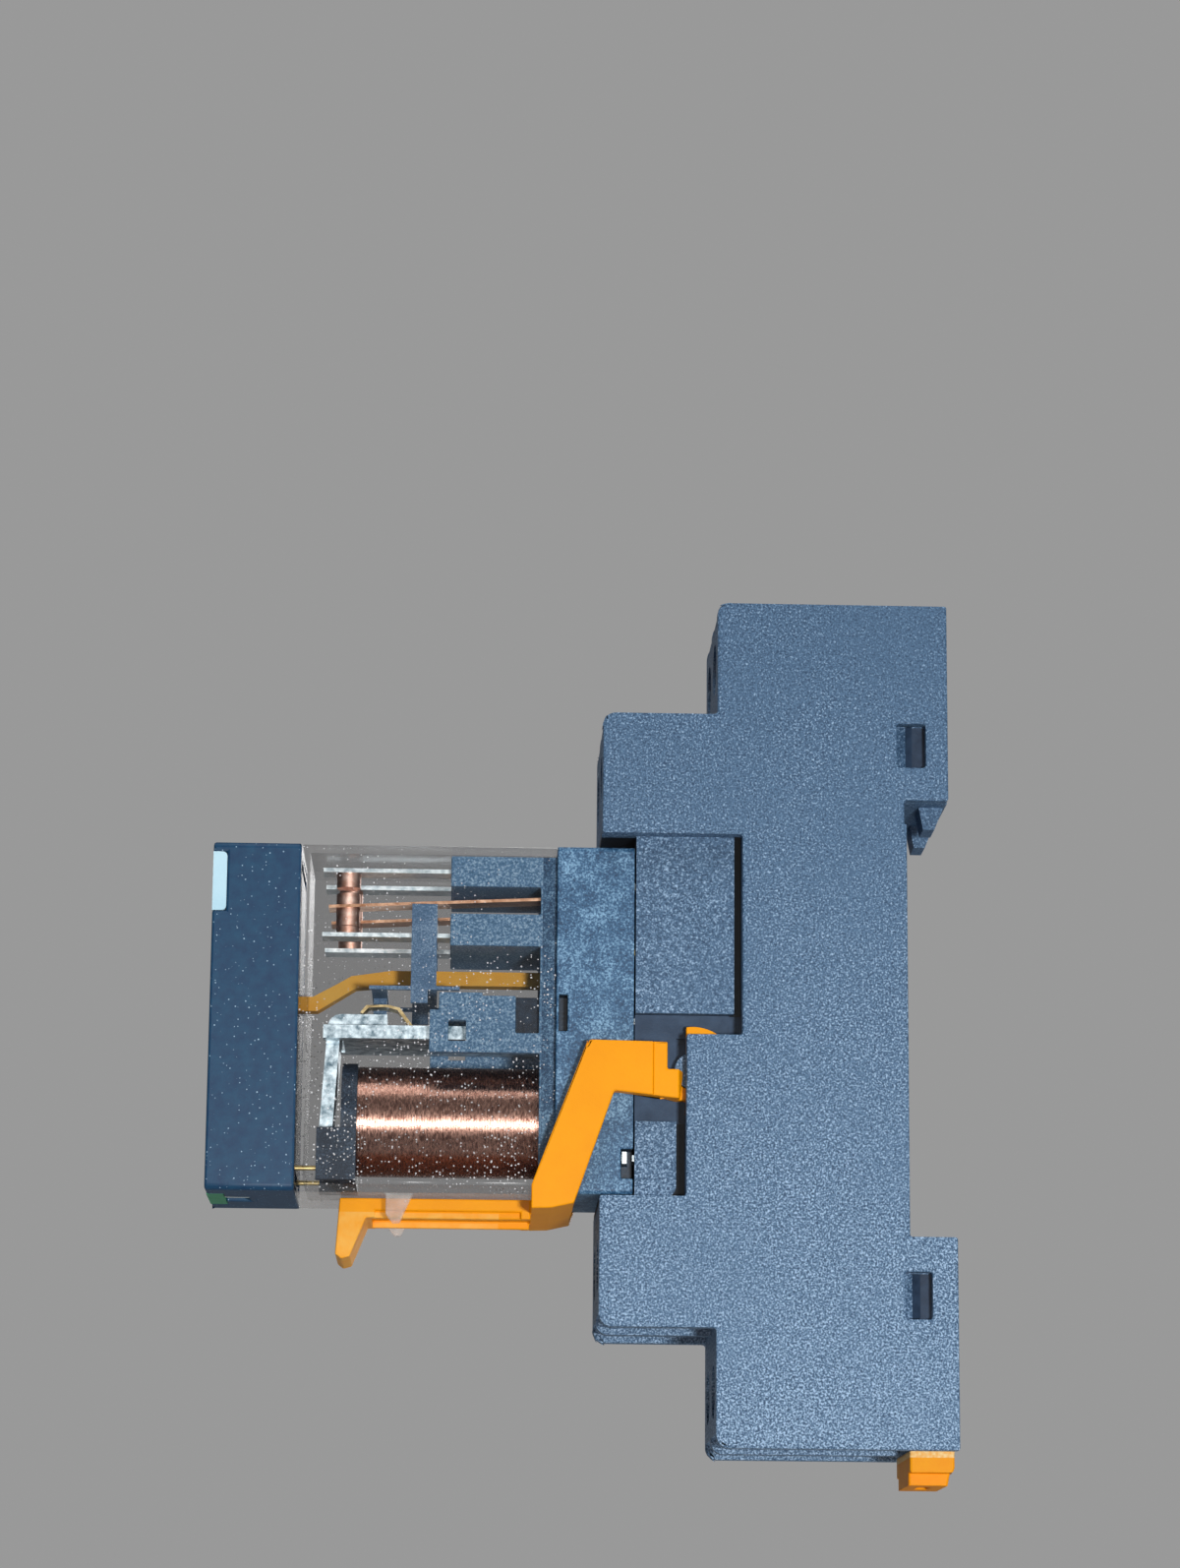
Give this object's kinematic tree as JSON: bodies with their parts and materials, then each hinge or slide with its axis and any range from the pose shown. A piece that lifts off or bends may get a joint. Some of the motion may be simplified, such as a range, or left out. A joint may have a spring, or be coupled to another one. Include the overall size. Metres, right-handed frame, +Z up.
{
  "type": "relay socket",
  "caption": "Slim rail-mount relay socket holding a plug-in relay with a clear case, an orange retaining clip below it and an orange rail clip at the foot.",
  "frame": {"origin": "middle of the flat face that lies on the 35 mm rail", "axes": "+X from the relay towards the rail, +Z up as mounted, Y along the rail"},
  "size_m": [0.0615, 0.016, 0.073],
  "materials": {
    "socket_body": "fine speckled moulding",
    "near_side_plate": "fine speckled moulding",
    "far_side_plate": "fine speckled moulding",
    "terminal_screws": "plated steel",
    "clamp_cages": "passivated steel",
    "contact_strips": "tinned strip",
    "rail_clip": "smooth moulding",
    "retaining_clip": "smooth moulding",
    "relay_base": "smooth moulding",
    "relay_cover": "clear moulding",
    "relay_cap": "smooth moulding",
    "marker_tag": "plain moulding",
    "status_window": "tinted moulding",
    "status_lamp": "clear lens",
    "coil_blades": "tinned strip",
    "common_blades": "strip",
    "break_contact_strips": "strip",
    "make_contact_strips": "strip",
    "fixed_rivets": "contact metal",
    "bobbin": "smooth moulding",
    "coil_winding": "enamelled copper wire",
    "coil_core": "soft iron",
    "yoke": "plated iron",
    "coil_lead": "wire",
    "armature": "plated iron",
    "return_spring": "spring strip",
    "actuator_card": "smooth moulding",
    "moving_blades": "spring strip",
    "moving_rivets": "contact metal",
    "test_lever": "smooth moulding",
    "test_button": "smooth moulding"
  },
  "bodies": {
    "socket": {"socket_body": "socket_body", "near_side_plate": "near_side_plate", "far_side_plate": "far_side_plate", "terminal_screws": "terminal_screws", "clamp_cages": "clamp_cages", "contact_strips": "contact_strips"},
    "rail_catch": {"rail_clip": "rail_clip"},
    "clip": {"retaining_clip": "retaining_clip"},
    "relay": {"relay_base": "relay_base", "relay_cover": "relay_cover", "relay_cap": "relay_cap", "marker_tag": "marker_tag", "status_window": "status_window", "status_lamp": "status_lamp", "coil_blades": "coil_blades", "common_blades": "common_blades", "break_contact_strips": "break_contact_strips", "make_contact_strips": "make_contact_strips", "fixed_rivets": "fixed_rivets", "bobbin": "bobbin", "coil_winding": "coil_winding", "coil_core": "coil_core", "yoke": "yoke", "coil_lead": "coil_lead", "return_spring": "return_spring"},
    "armature_body": {"armature": "armature"},
    "card": {"actuator_card": "actuator_card"},
    "moving_contacts": {"moving_blades": "moving_blades", "moving_rivets": "moving_rivets"},
    "test_slider": {"test_lever": "test_lever", "test_button": "test_button"}
  },
  "joints": [
    {"name": "rail_clip_slide", "type": "slide", "parent": "socket", "child": "rail_catch", "axis": [0, 0, 1], "range_m": [0, 0.0016]},
    {"name": "clip_swing", "type": "hinge", "parent": "socket", "child": "clip", "pos_m": [-0.0177, 0, -0.0046], "axis": [0, -1, 0], "range_deg": [0, 7.5]},
    {"name": "relay_unplug", "type": "slide", "parent": "socket", "child": "relay", "axis": [-1, 0, 0], "range_m": [0, 0.012]},
    {"name": "armature_tilt", "type": "hinge", "parent": "relay", "child": "armature_body", "pos_m": [-0.04685, 0, -0.00075], "axis": [0, -1, 0], "range_deg": [0, 3.5], "stiffness_Nm_per_rad": 0.02, "springref_deg": -2.86, "deforming": ["return_spring"]},
    {"name": "card_lift", "type": "slide", "parent": "relay", "child": "card", "axis": [0, 0, 1], "range_m": [0, 0.00024]},
    {"name": "contact_flex", "type": "hinge", "parent": "relay", "child": "moving_contacts", "pos_m": [-0.02855, 0, 0.01005], "axis": [0, 1, 0], "range_deg": [0, 1.5]},
    {"name": "test_press", "type": "slide", "parent": "relay", "child": "test_slider", "axis": [1, 0, 0], "range_m": [0, 0.0006], "stiffness_N_per_m": 500, "springref_m": -0.0005}
  ],
  "couplings": [
    {"joint": "card_lift", "follows": "armature_tilt", "m_per_rad": 0.00385},
    {"joint": "contact_flex", "follows": "armature_tilt", "ratio": 0.4}
  ]
}
